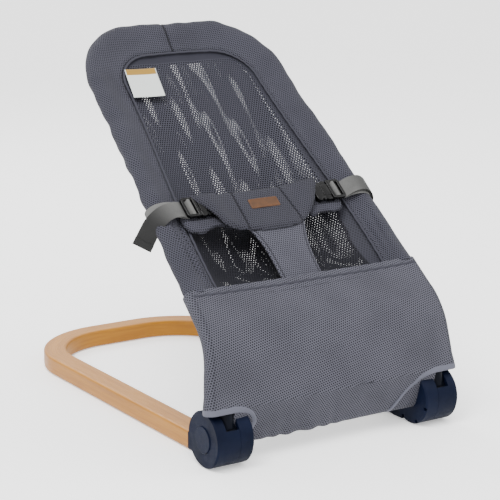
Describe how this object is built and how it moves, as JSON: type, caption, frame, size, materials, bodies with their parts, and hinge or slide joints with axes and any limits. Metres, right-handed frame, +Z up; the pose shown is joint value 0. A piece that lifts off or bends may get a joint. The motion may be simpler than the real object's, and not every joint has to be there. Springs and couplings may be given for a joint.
{
  "type": "bouncer seat",
  "caption": "Baby bouncer seat: a mesh and padded fabric sling on a bent tube hoop, tilting on push-button hubs at the open ends of a U-shaped bent-wood floor base.",
  "frame": {"origin": "on the floor, under the middle of the outline", "axes": "+X to the right of someone facing the seat, +Y to its back, +Z up"},
  "size_m": [0.4132, 0.674, 0.5487],
  "materials": {
    "wood": "clear matt lacquer",
    "rubber": "matt",
    "tube_steel": "powder coat",
    "shell_plastic": "fine spark texture",
    "button_plastic": "fine satin",
    "knuckle_plastic": "satin",
    "fastener_steel": "zinc plated",
    "ring_plastic": "natural acetal",
    "gear_metal": "sintered steel",
    "spring_steel": "drawn wire",
    "spacer_fabric": "padded spacer knit",
    "mesh_fabric": "open mesh knit",
    "binding": "woven tape",
    "label": "printed satin tape, blank",
    "tan_leather": "smooth tan",
    "buckle_plastic": "moulded acetal",
    "webbing": "woven polypropylene"
  },
  "bodies": {
    "base": {"wood_base": "wood", "foot_pads": "rubber", "crossbar": "tube_steel", "left_outer_shell": "shell_plastic", "right_outer_shell": "shell_plastic", "left_inner_shell": "shell_plastic", "right_inner_shell": "shell_plastic", "pivot_bolts": "fastener_steel", "pivot_nuts": "fastener_steel", "pivot_washers": "fastener_steel", "shell_screws": "fastener_steel", "wood_screws": "fastener_steel"},
    "recline": {"left_lock_ring": "ring_plastic", "right_lock_ring": "ring_plastic", "left_return_spring": "spring_steel", "right_return_spring": "spring_steel"},
    "seat": {"hoop_tube": "tube_steel", "left_knuckle": "knuckle_plastic", "right_knuckle": "knuckle_plastic", "hoop_pins": "fastener_steel", "hoop_sleeve": "spacer_fabric", "border_band": "spacer_fabric", "seat_mesh": "mesh_fabric", "back_mesh": "mesh_fabric", "leg_panel": "spacer_fabric", "hem_binding": "binding", "restraint_flap": "spacer_fabric", "crotch_strap": "spacer_fabric", "left_wing_pad": "spacer_fabric", "right_wing_pad": "spacer_fabric", "care_label": "label", "badge_patch": "tan_leather", "left_buckle_socket": "buckle_plastic", "right_buckle_socket": "buckle_plastic", "left_strap": "webbing", "right_strap": "webbing", "left_strap_tail": "webbing", "right_strap_tail": "webbing"},
    "left_push": {"left_button": "button_plastic"},
    "right_push": {"right_button": "button_plastic"},
    "left_gear": {"left_lock_gear": "gear_metal"},
    "right_gear": {"right_lock_gear": "gear_metal"},
    "left_clip": {"left_buckle_plug": "buckle_plastic"},
    "right_clip": {"right_buckle_plug": "buckle_plastic"}
  },
  "joints": [
    {"name": "recline_tilt", "type": "hinge", "parent": "base", "child": "recline", "pos_m": [0, -0.29725, 0.03975], "axis": [-1, 0, 0], "range_deg": [0, 45]},
    {"name": "bounce", "type": "hinge", "parent": "recline", "child": "seat", "pos_m": [0, -0.29725, 0.03975], "axis": [-1, 0, 0], "range_deg": [-2, 2.5], "stiffness_Nm_per_rad": 120, "springref_deg": -1.21},
    {"name": "left_button_press", "type": "slide", "parent": "base", "child": "left_push", "axis": [1, 0, 0], "range_m": [0, 0.0043], "stiffness_N_per_m": 700, "springref_m": -0.002},
    {"name": "right_button_press", "type": "slide", "parent": "base", "child": "right_push", "axis": [-1, 0, 0], "range_m": [0, 0.0043], "stiffness_N_per_m": 700, "springref_m": -0.002},
    {"name": "left_gear_shift", "type": "slide", "parent": "recline", "child": "left_gear", "axis": [1, 0, 0], "range_m": [0, 0.0043], "deforming": ["left_return_spring"]},
    {"name": "right_gear_shift", "type": "slide", "parent": "recline", "child": "right_gear", "axis": [-1, 0, 0], "range_m": [0, 0.0043], "deforming": ["right_return_spring"]},
    {"name": "left_buckle_release", "type": "slide", "parent": "seat", "child": "left_clip", "axis": [-1, 0, 0], "range_m": [0, 0.018], "deforming": ["left_strap", "left_strap_tail"]},
    {"name": "right_buckle_release", "type": "slide", "parent": "seat", "child": "right_clip", "axis": [1, 0, 0], "range_m": [0, 0.018], "deforming": ["right_strap", "right_strap_tail"]}
  ],
  "couplings": [
    {"joint": "left_gear_shift", "follows": "left_button_press", "ratio": 1},
    {"joint": "right_gear_shift", "follows": "right_button_press", "ratio": 1}
  ]
}
